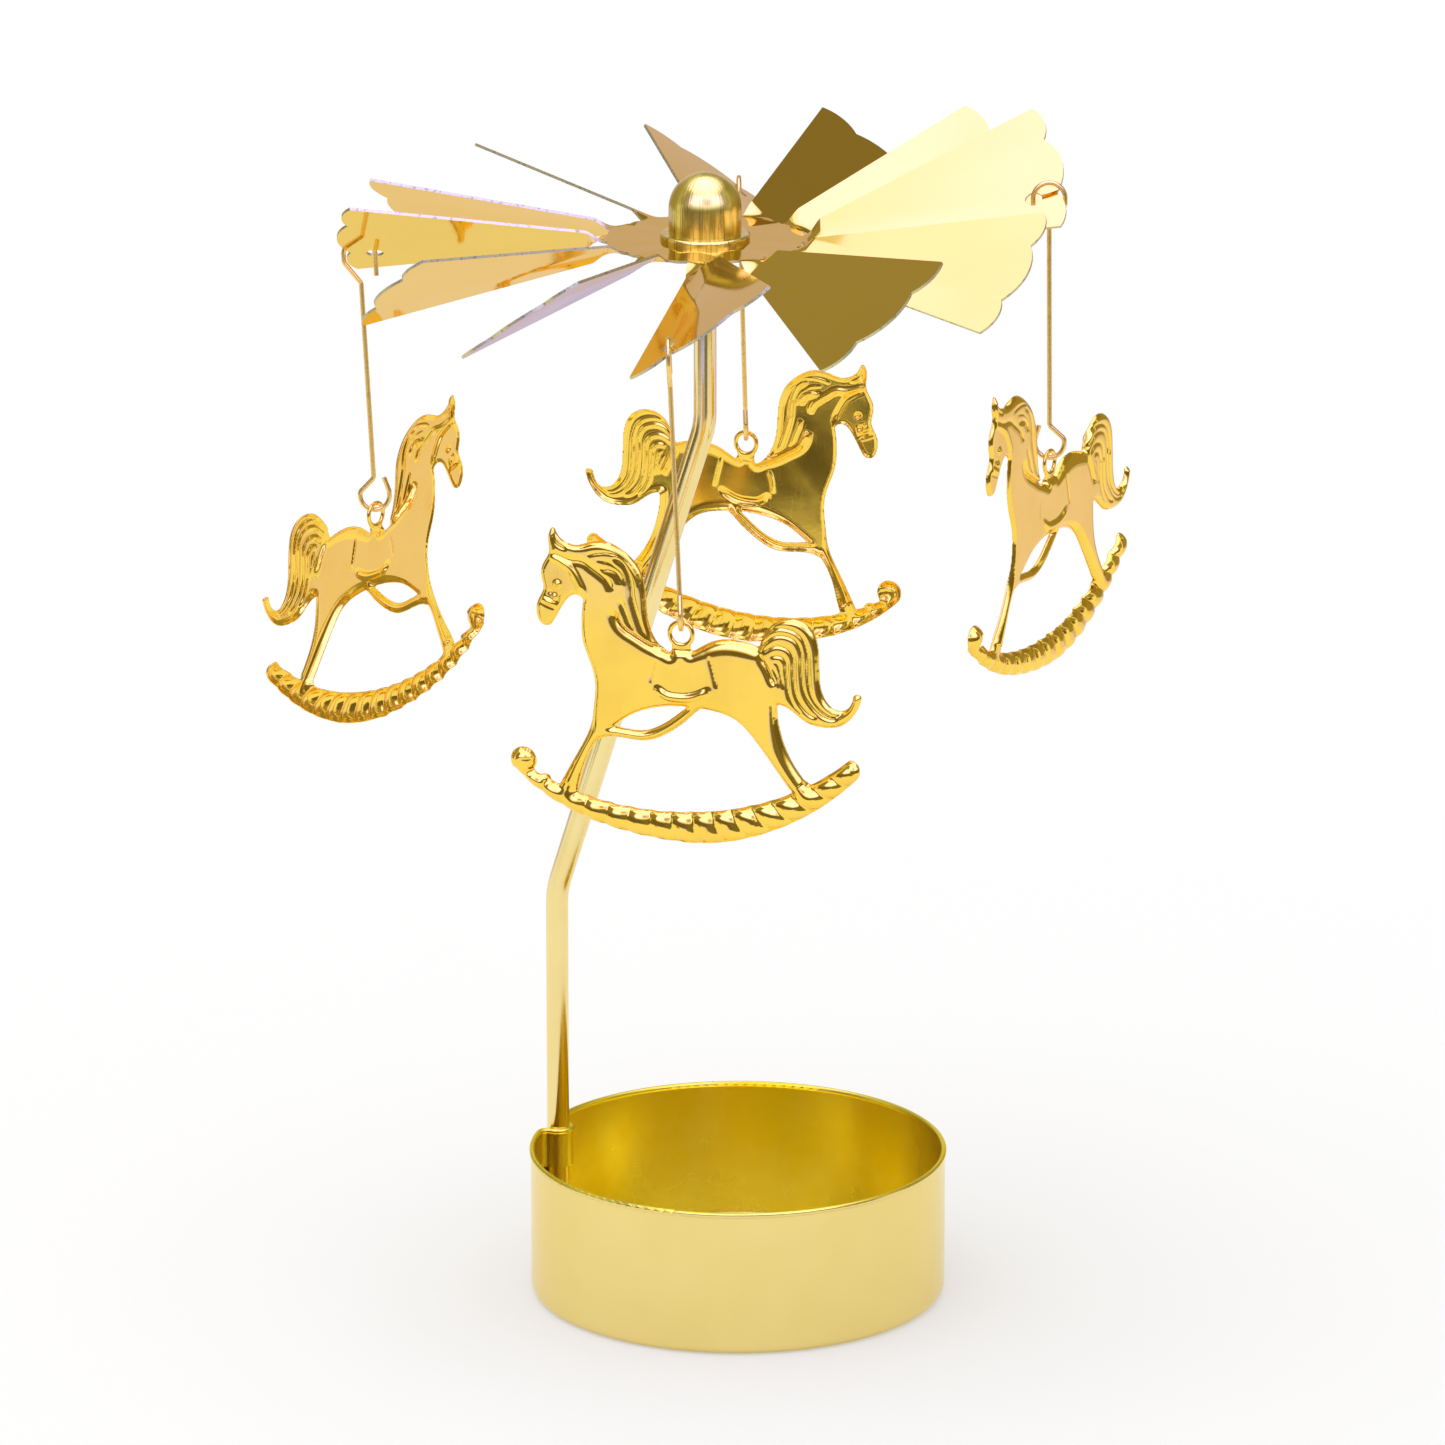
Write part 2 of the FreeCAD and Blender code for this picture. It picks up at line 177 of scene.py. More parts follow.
def lacquerGold(name, look, tone=lacquerTone):
    # bright sheet under a gold lacquer: cloudy tone (random on most parts, painted soft highlights and shade in the
    # well), soft waves in the sheet, hair scratches and specks
    material, start, place = newMaterial(name)
    toneAndPaintedSheen = place.noise(look["cloud"], tone["cloud"]).ramp(*tone["toneAndPaintedSheen"])
    peel = place.noise(look["peel"], tone["peel"])
    wave = place.stretch(look["waveStretch"]).noise(*tone["wave"])
    hair = place.stretch(look["hairStretch"], look["hairTurn"]).noise(*tone["hair"]).ramp(*tone["scratched"])
    speck = place.noise(look["speck"], tone["speck"]).ramp(*tone["specked"])
    # the cloud mix between the two golds is a faint random tone, except in the well, where it paints soft highlights
    # and shade
    colour = toneAndPaintedSheen.tint(look["gold"], look["deep"])
    dulled = look["rough"] + toneAndPaintedSheen * look["roughSpan"] + hair * look["hairRough"] + speck * look["speckRough"]
    relief = peel.bump(look["peelDepth"], wave.bump(look["waveDepth"]))
    values = {"Base Color": colour, "Roughness": dulled, "Normal": relief}
    coat = {"Coat Weight": look["coat"], "Coat Roughness": look["coatRough"]}
    metalShader(start, values, {**coat, "Specular Tint": rgb(look["grazing"])})
    return material


def barePlate(name, look, tone=plateTone):
    # sheared, turned or drawn metal without lacquer: grain with dark specks
    material, start, place = newMaterial(name)
    grain = place.stretch(look["grainStretch"]).noise(*tone["grain"])
    speck = place.noise(look["speck"], tone["speck"]).ramp(*tone["specked"])
    colour = speck.tint(look["bright"], look["dull"])
    dulled = look["rough"] + grain * look["roughSpan"]
    metalShader(start, {"Base Color": colour, "Roughness": dulled, "Normal": grain.bump(look["depth"])}, {})
    return material


def brushedDome(name, look):
    # lines run from the flange to the crown, so the pattern follows the angle round the hub's axis
    material, start, place = newMaterial(name)
    centred = place.stretch((1, 1, 1), (0, 0, 0), (look["offset"], 0, 0))
    along, across, height = [start.add("SeparateXYZ", None, {0: centred}, out=axis) for axis in range(3)]
    angle = along.maths("ARCTAN2", across, along)
    lines = start.add("CombineXYZ", None, {0: angle * look["lines"], 1: height * look["run"], 2: 0.0})
    brush = lines.noise(*look["brush"]) * (1 - height.ramp(*look["plain"]))  # no lines on the polished crown
    colour = brush.ramp(*look["scratch"]).tint(look["gold"], look["deep"])
    dulled = look["rough"] + brush * look["roughSpan"]
    values = {"Base Color": colour, "Roughness": dulled, "Normal": brush.bump(look["depth"])}
    metalShader(start, values, {"Coat Weight": look["coat"], "Coat Roughness": look["coatRough"]})
    return material


def newPiece(name, mesh, body, nodes, finishes):
    piece = bpy.data.objects.new(name, mesh)
    scene.collection.objects.link(piece)
    for finish in finishes:
        mesh.materials.append(finish)
    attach(piece, body)
    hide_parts(*nodes)


def mergedNode(name, gap=2e-7):
    bm = bmesh.new()
    bm.from_mesh(frame["nodes"][name].data)
    bmesh.ops.remove_doubles(bm, verts=bm.verts, dist=gap)
    return bm


def smoothMesh(name, bm, angle=35):
    # even shading up to the angle, crisp edges beyond it
    for face in bm.faces:
        face.smooth = True
    for edge in bm.edges:
        edge.smooth = len(edge.link_faces) == 2 and edge.calc_face_angle() < math.radians(angle)
    mesh = bpy.data.meshes.new(name)
    bm.to_mesh(mesh)
    bm.free()
    for old in [layer for layer in mesh.attributes if layer.name == "custom_normal"]:
        mesh.attributes.remove(old)
    return mesh


def smoothCopy(node, name, finish):
    mesh = smoothMesh(name, mergedNode(node))
    newPiece(name, mesh, frame["nodes"][node]["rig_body"], [node], [finish])


# tray and post: pale satin gold outside; the well is a brighter, deeper copy of that gold whose cloudy pale and deep
# patches are painted soft highlights and shade
trayLook = {"gold": (0.885, 0.705, 0.255), "deep": (0.865, 0.685, 0.235), "cloud": 70.0, "peel": 900.0,
            "peelDepth": 0.0000012, "waveStretch": (90, 90, 25), "waveDepth": 0.00012,
            "hairStretch": (900, 900, 60), "hairTurn": (0, 0, 0), "hairRough": 0.03,
            "speck": 2600.0, "speckRough": 0.08, "rough": 0.16, "roughSpan": 0.05,
            "coat": 0.2, "coatRough": 0.12, "grazing": (1.0, 0.95, 0.8)}
postLook = dict(trayLook, gold=(0.92, 0.76, 0.34), deep=(0.88, 0.70, 0.28), rough=0.11, waveDepth=0.00002,
                hairStretch=(4000, 4000, 90))
# the well's brighter gold and its pale and deep cloud patches paint soft highlights and shade on its walls and floor
wellPaintedSheenLook = dict(trayLook, gold=(1.0, 0.915, 0.17), deep=(0.95, 0.79, 0.03), cloud=62.0, rough=0.26, coat=0.0,
                grazing=(1.0, 0.9, 0.4), inward=0.3, upward=0.4)


def makeTray(look, well):
    bm = mergedNode("tray")
    for face in bm.faces:  # a face that looks inward or up is in the well
        spot = face.calc_center_median()
        inward = -(face.normal.x * spot.x + face.normal.y * spot.y) / max(spot.xy.length, tiny)
        face.material_index = 1 if inward > well["inward"] or face.normal.z > well["upward"] else 0
    mesh = smoothMesh("trayCup", bm)
    finishes = [lacquerGold("trayGold", look), lacquerGold("wellGoldPaintedSheen", well)]
    newPiece("trayCup", mesh, "stand", ["tray"], finishes)


makeTray(trayLook, wellPaintedSheenLook)
smoothCopy("post", "postTube", lacquerGold("postGold", postLook))
print("tray and post finished")

# needle and seat, inside the hub
needleLook = {"bright": (0.62, 0.61, 0.60), "dull": (0.42, 0.41, 0.40), "grainStretch": (300, 300, 9000),
              "speck": 3000.0, "rough": 0.18, "roughSpan": 0.12, "depth": 0.000002}
seatLook = dict(needleLook, bright=(0.80, 0.58, 0.25), dull=(0.60, 0.42, 0.17), rough=0.25)
smoothCopy("pivot_needle", "needlePin", barePlate("needleSteel", needleLook))
smoothCopy("bearing_seat", "seatPlug", barePlate("seatBrass", seatLook))

# hub: drawn dome with fine lines up its sides, and its collar
hubLook = {"gold": (0.95, 0.77, 0.17), "deep": (0.60, 0.46, 0.09), "lines": 20.0, "run": 90.0,
           "brush": (1.0, 4.0, 0.65), "plain": (0.1575, 0.161), "scratch": (0.48, 0.66), "offset": 0.0048,
           "rough": 0.17, "roughSpan": 0.1, "depth": 0.00003, "coat": 0.1, "coatRough": 0.12}
hubGold = brushedDome("hubGold", hubLook)
smoothCopy("hub_cap", "hubDome", hubGold)
smoothCopy("hub_collar", "hubRing", hubGold)
print("pivot and hub finished")

# rotor: mirror sheet with raw sheared edges
rotorLook = {"gold": (0.83, 0.575, 0.128), "deep": (0.81, 0.555, 0.118), "cloud": 45.0, "peel": 1400.0,
             "peelDepth": 0.0000003, "waveStretch": (60, 60, 60), "waveDepth": 0.00006,
             "hairStretch": (60, 5000, 5000), "hairTurn": (0, 0, 35), "hairRough": 0.03,
             "speck": 1800.0, "speckRough": 0.05, "rough": 0.045, "roughSpan": 0.02,
             "coat": 0.1, "coatRough": 0.03, "grazing": (1.0, 0.9, 0.62), "crisp": 28}
edgeLook = {"bright": (0.66, 0.61, 0.315), "dull": (0.40, 0.365, 0.19), "grainStretch": (2500, 2500, 2500),
            "speck": 1700.0, "rough": 0.34, "roughSpan": 0.2, "depth": 0.00002, "sheet": 0.0004, "slack": 1.35}


def makeRotor(look, edge):
    bm = mergedNode("rotor")
    tree = BVHTree.FromBMesh(bm)
    for face in bm.faces:  # a face with no sheet behind it at the sheet's thickness is a sheared edge
        start = face.calc_center_median() - face.normal * tiny
        hit = tree.ray_cast(start, -face.normal, edge["sheet"] * edge["slack"])
        face.material_index = 1 if hit[0] is None else 0
    mesh = smoothMesh("rotorSheet", bm, look["crisp"])
    finishes = [lacquerGold("rotorGold", look), barePlate("shearedEdge", edge)]
    newPiece("rotorSheet", mesh, "turner", ["rotor"], finishes)


makeRotor(rotorLook, edgeLook)
print("rotor finished")

# hangers: drawn brass wire
wireLook = {"bright": (0.95, 0.66, 0.19), "dull": (0.86, 0.57, 0.15), "grainStretch": (6000, 6000, 250),
            "speck": 900.0, "rough": 0.2, "roughSpan": 0.14, "depth": 0.000002}
wireBrass = barePlate("wireBrass", wireLook)
sides = ("front", "right", "back", "left")
for side in sides:
    smoothCopy("hanger_" + side, "hangerWire_" + side, wireBrass)
print("hangers finished")

# horses: one pressing, in millimetres, forward and up from the centre of its ring, raised towards the outside
horseLook = {"sheet": 0.5, "thin": 0.36, "voxel": 0.14, "level": 0.55, "lowest": -0.9,
             "cutAt": 0.002, "cutGap": 1e-5, "weld": 1e-4, "rimGap": 0.06, "faceShare": 0.7,
             "strip": 1500, "search": 2.5,
             "rollDrop": (0.05, 0.8, 1.4), "rollPull": -3.0, "rollMost": 0.95,
             "ringDrop": 0.000665, "ringReach": (1.2, 2.0), "ringFade": (3.0, 0.8), "ringRound": (0.12, 1.25),
             "ball": ((22.2, -19.4), 1.85, 0.3), "girth": 0.25, "girthReach": 0.8, "girthEnds": 1.5,
             "ropeWidth": 2.15, "ropePitch": 3.1, "ropeStart": 0.1, "ropeSlant": (0.05, 0.35), "ropeLean": (2.2, 0.7),
             "ropeDepth": 0.45, "edge": 0.45, "edgePasses": 8, "edgeFactor": 0.5, "lastFactor": 0.3}
horseMetal = {"gold": (1.0, 0.68, 0.095), "deep": (0.98, 0.645, 0.08), "cloud": 130.0, "peel": 1800.0,
              "peelDepth": 0.0000012, "waveStretch": (160, 160, 160), "waveDepth": 0.00002,
              "hairStretch": (3000, 3000, 200), "hairTurn": (0, 20, 0), "hairRough": 0.04,
              "speck": 3000.0, "speckRough": 0.06, "rough": 0.085, "roughSpan": 0.05,
              "coat": 0.2, "coatRough": 0.06, "grazing": (1.0, 0.92, 0.7)}
# how wide the rolled edge is near these places
rollWidths = (
    ((18.0, 6.0), 0.6), ((18.5, 1.0), 0.6), ((13.0, 1.0), 0.45), ((12.0, -9.0), 0.5), ((8.0, 10.0), 1.2),
    ((5.5, 4.0), 0.9), ((0.0, -4.0), 1.4), ((-7.0, -2.0), 2.1), ((-12.5, -6.0), 1.2), ((-16.5, 1.0), 1.0),
    ((-18.5, -5.0), 0.9), ((-22.0, -9.0), 1.0), ((-15.0, -16.0), 1.6), ((12.5, -17.0), 1.2), ((15.0, -25.0), 2.0),
    ((3.0, -26.0), 2.1), ((-15.0, -23.0), 2.1), ((22.0, -19.5), 1.8),
)
# raised lines of the pressing: middle line, half width, height
horseRidges = (
    (((3.1, -7.7), (1.9, -8.5), (0.2, -8.7), (-1.6, -8.5), (-2.9, -8.0), (-3.9, -7.4)), 0.6, 0.36),
    (((17.9, 9.3), (17.0, 9.0), (16.0, 8.4), (15.2, 7.8), (14.6, 7.0), (14.1, 6.1), (13.6, 5.1), (13.4, 4.6)),
      0.55, 0.3),
    (((19.1, 3.4), (18.1, 3.0), (17.1, 2.6)), 0.5, 0.36),
    (((17.8, 13.0), (17.9, 11.7), (17.8, 10.0), (17.8, 9.4)), 0.45, 0.22),
)
# sunk lines: middle line, width of the slope below and left of it, width of the other, depth
horseCreases = (
    (((3.3, -3.7), (3.8, -4.9), (4.1, -7.0)), 0.6, 0.6, 0.06),
    (((-4.1, -2.5), (-4.6, -4.4), (-5.2, -6.9)), 0.65, 0.15, 0.2),
    (((12.7, 9.8), (12.0, 10.1), (11.1, 10.3), (10.0, 10.4), (8.9, 10.2), (7.9, 9.7), (7.0, 9.0), (6.3, 8.1),
      (5.8, 7.2), (5.6, 6.1)), 0.35, 0.35, 0.16),
    (((9.3, 9.8), (8.5, 9.6), (7.7, 9.0), (7.2, 8.1), (6.8, 7.0), (6.6, 5.7), (6.5, 4.5), (6.2, 3.3), (5.8, 2.0),
      (5.4, 0.9), (5.0, -0.1), (4.6, -1.0)), 1.0, 0.4, 0.22),
    (((11.5, 9.3), (10.5, 9.2), (9.6, 9.0), (8.9, 8.5), (8.2, 8.0), (7.8, 7.3), (7.6, 6.1)), 0.3, 0.3, 0.12),
    (((10.9, 8.6), (10.8, 8.2), (10.0, 8.2), (9.3, 8.1), (8.6, 7.7), (8.2, 7.0), (8.1, 6.3)), 1.2, 0.3, 0.26),
    (((18.0, 9.8), (17.0, 9.5), (16.0, 9.2), (14.8, 9.0), (13.9, 9.0), (13.0, 8.7), (12.3, 8.2), (11.5, 7.7),
      (10.8, 7.2), (10.2, 6.7), (9.8, 6.0), (9.6, 5.2)), 0.9, 0.7, 0.22),
    (((8.1, 4.2), (7.8, 3.1), (7.4, 2.2), (7.0, 1.1), (6.5, 0.0)), 0.75, 0.3, 0.22),
    (((19.5, 3.0), (18.4, 2.5), (17.1, 2.1)), 0.25, 0.2, 0.14),
    (((16.8, 4.3), (17.0, 3.2), (17.0, 2.2)), 0.2, 0.35, 0.2),
    (((17.6, 12.7), (17.5, 11.8), (17.1, 11.1), (16.5, 10.7), (15.6, 10.5)), 0.45, 0.4, 0.24),
    (((14.4, 11.3), (13.7, 11.1), (12.8, 11.5)), 0.5, 0.3, 0.18),
    (((-11.0, 0.2), (-11.6, 1.0), (-12.6, 1.7), (-13.8, 2.1), (-15.2, 2.0), (-16.2, 1.6), (-17.0, 0.8),
      (-17.4, -0.3), (-17.7, -1.7), (-17.7, -3.4), (-17.8, -4.9), (-18.0, -6.3), (-18.5, -7.5), (-19.2, -8.3),
      (-20.1, -9.0), (-21.0, -9.4), (-21.9, -9.3), (-22.7, -8.7), (-23.4, -8.0)), 0.55, 0.55, 0.3),
    (((-11.1, -0.7), (-11.8, -0.1), (-12.8, 0.8), (-13.8, 1.1), (-15.0, 1.0), (-15.9, 0.6), (-16.5, -0.2),
      (-16.8, -1.2), (-16.8, -2.9), (-16.9, -4.6), (-17.1, -6.0), (-17.5, -7.0), (-18.2, -8.0), (-19.0, -8.9),
      (-20.1, -9.6), (-21.2, -9.8), (-22.1, -9.4)), 0.5, 0.5, 0.28),
    (((-11.6, -1.4), (-12.3, -0.8), (-13.2, -0.4), (-14.1, -0.4), (-14.9, -0.7), (-15.5, -1.4), (-15.7, -2.3),
      (-15.7, -3.8), (-15.8, -5.4), (-16.0, -6.7), (-16.5, -7.8), (-17.2, -8.7), (-18.0, -9.4), (-19.0, -9.8)),
      0.5, 0.5, 0.28),
    (((-12.6, -1.9), (-13.5, -1.7), (-14.1, -1.8), (-14.6, -2.4), (-14.7, -3.7), (-14.8, -4.9), (-14.9, -6.1),
      (-15.3, -7.5), (-16.0, -8.7), (-16.9, -9.5)), 0.5, 0.5, 0.28),
    (((-13.0, -2.6), (-13.5, -2.8), (-13.8, -3.6), (-14.0, -4.6), (-14.2, -5.5), (-14.3, -6.2)), 0.35, 0.35, 0.2),
    (((-12.8, -3.1), (-13.1, -3.8), (-13.5, -4.6), (-13.7, -6.1)), 0.3, 0.3, 0.16),
)
# where the body rolls down to the mane, the saddle top and the tail: the same four values
horseShoulders = (
    (((9.0, 2.6), (8.8, 1.6), (8.3, 0.7), (7.5, 0.0), (6.6, -0.5), (5.7, -1.0), (4.8, -1.5), (3.9, -1.9),
      (3.0, -2.2), (2.2, -2.4)), 1.35, 0.4, 0.95),
    (((-11.0, -1.7), (-11.4, -2.5), (-11.9, -3.3), (-12.3, -4.1), (-12.7, -5.0), (-13.2, -5.8)), 1.0, 0.45, 0.65),
    (((2.9, -2.0), (1.4, -2.0), (0.0, -1.9), (-1.4, -1.5), (-2.2, -1.0)), 1.3, 0.3, 0.9),
)
# the bar from the belly to the foreleg, the dots of the face (centre, radius, height) and the rocker's middle
girthLine = ((10.6, -14.7), (8.6, -14.3), (5.6, -14.5), (2.6, -13.5), (0.1, -11.7), (-1.6, -10.3))
horseDots = (((17.0, 5.6), 0.5, 0.4), ((17.4, 3.8), 0.45, 0.3), ((17.9, 4.4), 0.3, -0.2))
ropeLine = ((21.5, -21.0), (16.5, -23.9), (11.0, -25.7), (5.5, -26.7), (0.0, -26.75), (-6.0, -26.1), (-11.5, -24.45),
            (-17.0, -21.6), (-21.0, -18.9), (-23.6, -16.9))


def smoothLine(points, gap=0.06):
    # close points on a smooth line through the given ones
    points = np.array(points, float)
    run = np.concatenate(([0.0], np.cumsum(np.linalg.norm(np.diff(points, axis=0), axis=1))))
    slopes = np.gradient(points, run, axis=0)
    at = np.linspace(0.0, run[-1], max(3, int(run[-1] / gap)))
    leg = np.clip(np.searchsorted(run, at, side="right") - 1, 0, len(run) - 2)
    step = (run[leg + 1] - run[leg])[:, None]
    t = (at - run[leg])[:, None] / step
    near = points[leg] * (2 * t ** 3 - 3 * t ** 2 + 1) + slopes[leg] * step * (t ** 3 - 2 * t ** 2 + t)
    return near + points[leg + 1] * (3 * t ** 2 - 2 * t ** 3) + slopes[leg + 1] * step * (t ** 3 - t ** 2), at


def nearLine(flat, line, reach, strip=4000):
    # for the points within reach of a line: which they are, how far off, on which side and how far along
    low = line.min(0) - reach
    high = line.max(0) + reach
    which = np.nonzero(((flat > low) & (flat < high)).all(1))[0]
    best = np.zeros(len(which), int)
    for part in range(0, len(which), strip):
        gaps = flat[which[part:part + strip], None, :] - line[None, :, :]
        best[part:part + strip] = (gaps ** 2).sum(2).argmin(1)
    along = np.gradient(line, axis=0)
    along /= np.linalg.norm(along, axis=1)[:, None]
    gaps = flat[which] - line[best]
    side = along[best, 0] * gaps[:, 1] - along[best, 1] * gaps[:, 0]
    return which, np.linalg.norm(gaps, axis=1), side, best


def fromEnds(run, best, fade):
    # 0 at the ends of a line, 1 from the fade's length onwards
    return np.clip(np.minimum(run[best], run[-1] - run[best]) / fade, 0.0, 1.0)


def pressRidge(height, flat, points, halfWidth, rise, fade=1.5, least=0.2):
    line, run = smoothLine(points)
    which, off, _, best = nearLine(flat, line, halfWidth)
    share = least + (1 - least) * fromEnds(run, best, halfWidth * fade)
    height[which] += rise * share * (1 - np.clip(off / halfWidth, 0.0, 1.0) ** 2)


def pressCrease(sunk, flat, points, below, above, depth, rounded=False, fade=1.1):
    # a sunk line with a slope on each side; the deeper wins where two meet
    line, run = smoothLine(points)
    which, off, side, best = nearLine(flat, line, max(below, above))
    share = fromEnds(run, best, fade)
    left = 1 - np.clip(off / np.where(side > 0, below, above), 0.0, 1.0)
    shape = left ** 2
    if rounded:
        shape = np.where(side > 0, 1 - np.sqrt(1 - left ** 2), shape)
    sunk[which] = np.maximum(sunk[which], depth * share * (2 - share) * shape)


def pressRope(height, flat, look):
    # turns of the rope along the rocker, more slanted towards the tail
    line, run = smoothLine(ropeLine)
    which, off, side, best = nearLine(flat, line, look["ropeWidth"])
    inside = off < look["ropeWidth"]
    upright, slanted = look["ropeSlant"]
    speed, delay = look["ropeLean"]
    slant = upright + (slanted - upright) * np.clip(run[best] / run[-1] * speed - delay, 0.0, 1.0)
    turn = look["ropeStart"] + run[best] / look["ropePitch"] - side / look["ropeWidth"] * slant
    valley = np.abs(turn - np.floor(turn) - 0.5) * 2
    height[which] -= np.where(inside, look["ropeDepth"] * valley ** 2, 0.0)


def horsePlace(side, look):
    # from the pressing's own place to that side's ring
    joint = joints["horse_" + side + "_rock"]
    axis = Vector(joint["axis"])
    turn = Matrix.Rotation(math.atan2(-axis.x, axis.y), 4, "Z")
    ring = Vector(joint["pos_m"]) - Vector((0, 0, look["ringDrop"]))
    return Matrix.Translation(ring) @ turn @ Matrix.Scale(millimetre, 4)


def makeBlank(look):
    # the solid's outline at its middle plane as a sheet, and close points along that outline
    bm = mergedNode("horse_front")
    bmesh.ops.transform(bm, matrix=horsePlace("front", look).inverted(), verts=bm.verts)
    everything = bm.verts[:] + bm.edges[:] + bm.faces[:]
    bmesh.ops.bisect_plane(bm, geom=everything, dist=look["cutGap"], plane_co=(0, look["cutAt"], 0),
                           plane_no=(0, 1, 0), clear_inner=True, clear_outer=True)
    bmesh.ops.remove_doubles(bm, verts=bm.verts, dist=look["weld"])
    rim = np.array([edge.verts[0].co.lerp(edge.verts[1].co, share) for edge in bm.edges
                    for share in np.arange(0, 1, min(1.0, look["rimGap"] / max(edge.calc_length(), tiny)))])
    bmesh.ops.triangle_fill(bm, use_beauty=True, use_dissolve=False, edges=bm.edges[:], normal=(0, 1, 0))
    bmesh.ops.translate(bm, vec=(0, -look["sheet"] / 2, 0), verts=bm.verts)
    grown = bmesh.ops.extrude_face_region(bm, geom=bm.faces[:])["geom"]
    grownVerts = [part for part in grown if isinstance(part, bmesh.types.BMVert)]
    bmesh.ops.translate(bm, vec=(0, look["sheet"], 0), verts=grownVerts)
    bmesh.ops.recalc_face_normals(bm, faces=bm.faces)
    mesh = bpy.data.meshes.new("pressing")
    bm.to_mesh(mesh)
    bm.free()
    return mesh, rim[:, (0, 2)]


def evenMesh(mesh, look):
    # the same form with a fine even mesh
    blank = bpy.data.objects.new("pressing", mesh)
    scene.collection.objects.link(blank)
    remesh = blank.modifiers.new("even", "REMESH")
    remesh.mode = "VOXEL"
    remesh.voxel_size = look["voxel"]
    dense = bpy.data.meshes.new_from_object(blank.evaluated_get(bpy.context.evaluated_depsgraph_get()))
    bpy.data.objects.remove(blank)
    return dense


def rimDistance(flat, rim, look):
    # how far each point is from the outline, found in strips
    fromRim = np.zeros(len(flat))
    order = np.argsort(flat[:, 0])
    rim = rim[np.argsort(rim[:, 0])]
    for part in range(0, len(order), look["strip"]):
        some = order[part:part + look["strip"]]
        low = np.searchsorted(rim[:, 0], flat[some[0], 0] - look["search"])
        high = np.searchsorted(rim[:, 0], flat[some[-1], 0] + look["search"])
        gaps = flat[some, None, :] - rim[None, low:high, :]
        fromRim[some] = np.sqrt((gaps ** 2).sum(2).min(1))
    return fromRim


def edgeDrop(flat, fromRim, look):
    # how far the edge rolls down, by the widths given near each point
    widths = np.array([width for spot, width in rollWidths])
    pull = np.array([np.linalg.norm(flat - np.array(spot), axis=1) for spot, width in rollWidths]) ** look["rollPull"]
    rollWidth = (pull * widths[:, None]).sum(0) / pull.sum(0)
    start, slope, most = look["rollDrop"]
    left = np.minimum(1 - np.clip(fromRim / rollWidth, 0.0, 1.0), look["rollMost"])
    return np.minimum(start + slope * rollWidth, most) * (1 - np.sqrt(1 - left ** 2))


def pressedHeight(flat, fromRim, look):
    height = np.full(len(flat), look["level"])
    centre, radius, rise = look["ball"]
    fromBall = np.linalg.norm(flat - np.array(centre), axis=1) / radius
    height += rise * np.cos(np.clip(fromBall, 0, 1) * math.pi / 2)
    pressRope(height, flat, look)
    for ridge in horseRidges:
        pressRidge(height, flat, *ridge)
    sunk = np.zeros(len(flat))
    for crease in horseCreases:
        pressCrease(sunk, flat, *crease)
    for shoulder in horseShoulders:
        pressCrease(sunk, flat, *shoulder, rounded=True)
    height -= sunk
    for dot, spread, lift in horseDots:
        reach = np.clip(np.linalg.norm(flat - np.array(dot), axis=1) / spread, 0.0, 1.0)
        height += lift * (1 - reach ** 2)
    height -= edgeDrop(flat, fromRim, look)
    return np.maximum(height, look["lowest"])


def liftSheet(co, flat, height, look):
    # the sheet rises to its relief, but the ring stays on the middle plane, with a round section
    inner, outer = look["ringReach"]
    clear, fade = look["ringFade"]
    least, full = look["ringRound"]
    fromRing = np.linalg.norm(flat, axis=1)
    onRing = np.clip((clear - fromRing) / fade, 0.0, 1.0)
    onRing = onRing * onRing * (3 - 2 * onRing)
    across = np.clip(np.abs(fromRing - (inner + outer) / 2) / ((outer - inner) / 2), 0.0, 1.0)
    thin = look["thin"] / look["sheet"]
    co[:, 1] *= thin + onRing * (np.sqrt(np.clip(1 - across ** 2, least, 1.0)) * full - thin)
    co[:, 1] += height * (1 - onRing)


def fillGirth(co, flat, look):
    # the girth bar is a little fuller than its solid
    line, run = smoothLine(girthLine)
    which, off, _, best = nearLine(flat, line, look["girthReach"])
    fuller = look["girth"] * fromEnds(run, best, look["girthEnds"]) * (off < look["girthReach"])
    co[which, 0] += (flat[which, 0] - line[best, 0]) * fuller
    co[which, 2] += (flat[which, 1] - line[best, 1]) * fuller


def smoothEdge(mesh, fromRim, look):
    # evens out the steps that the voxels leave along the edge
    bm = bmesh.new()
    bm.from_mesh(mesh)
    edge = [vert for vert, gap in zip(bm.verts, fromRim) if gap < look["edge"]]
    for verts, factor in [(edge, look["edgeFactor"])] * look["edgePasses"] + [(bm.verts[:], look["lastFactor"])]:
        bmesh.ops.smooth_vert(bm, verts=verts, factor=factor, use_axis_x=True, use_axis_y=True, use_axis_z=True)
    bm.to_mesh(mesh)
    bm.free()
    mesh.update()


def pressHorse(look):
    blank, rim = makeBlank(look)
    mesh = evenMesh(blank, look)
    co = np.zeros(len(mesh.vertices) * 3, np.float32)
    mesh.vertices.foreach_get("co", co)
    co = co.reshape(-1, 3).astype(float)
    flat = co[:, (0, 2)]
    fromRim = rimDistance(flat, rim, look)
    half = look["sheet"] / 2
    onFace = np.abs(co[:, 1]) > half * look["faceShare"]
    co[onFace, 1] = np.sign(co[onFace, 1]) * half
    liftSheet(co, flat, pressedHeight(flat, fromRim, look), look)
    fillGirth(co, flat, look)
    mesh.vertices.foreach_set("co", co.astype(np.float32).ravel())
    smoothEdge(mesh, fromRim, look)
    print("pressing:", len(mesh.polygons), "faces", co.min(0).round(2), co.max(0).round(2))
    return mesh


